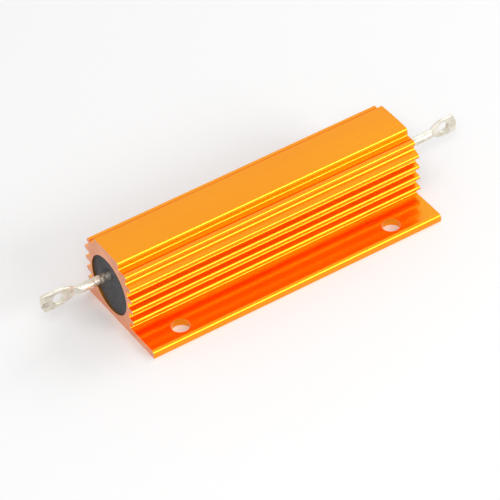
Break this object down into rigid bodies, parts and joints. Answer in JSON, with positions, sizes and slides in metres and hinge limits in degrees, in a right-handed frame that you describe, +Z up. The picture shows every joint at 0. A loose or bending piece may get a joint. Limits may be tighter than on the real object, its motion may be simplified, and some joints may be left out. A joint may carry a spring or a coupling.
{
  "type": "aluminium housed power resistor",
  "caption": "Wirewound power resistor in a ribbed gold anodised aluminium extrusion with a drilled side flange and an eyelet terminal at each end.",
  "frame": {"origin": "middle of the mounting face, halfway along the extrusion and halfway across its base with the flange", "axes": "+X along the body towards the right terminal, +Y away from the mounting flange, +Z up out of the mounting face"},
  "size_m": [0.1291, 0.0322, 0.0224],
  "materials": {
    "gold_anodised": "satin gold anodised, bare where it was sawn",
    "black_sealant": "matt, grainy black resin",
    "tinned_lead": "tinned, slightly yellowed",
    "cap_steel": "pressed, plated",
    "ceramic": "unglazed ceramic",
    "resistance_wire": "drawn nickel alloy wire",
    "filling": "cast, matt"
  },
  "bodies": {
    "root": {"housing": "gold_anodised", "end_seal_left": "black_sealant", "end_seal_right": "black_sealant", "terminal_left": "tinned_lead", "terminal_right": "tinned_lead", "end_cap_left": "cap_steel", "end_cap_right": "cap_steel", "ceramic_core": "ceramic", "resistance_winding": "resistance_wire", "potting_compound": "filling"}
  },
  "joints": []
}
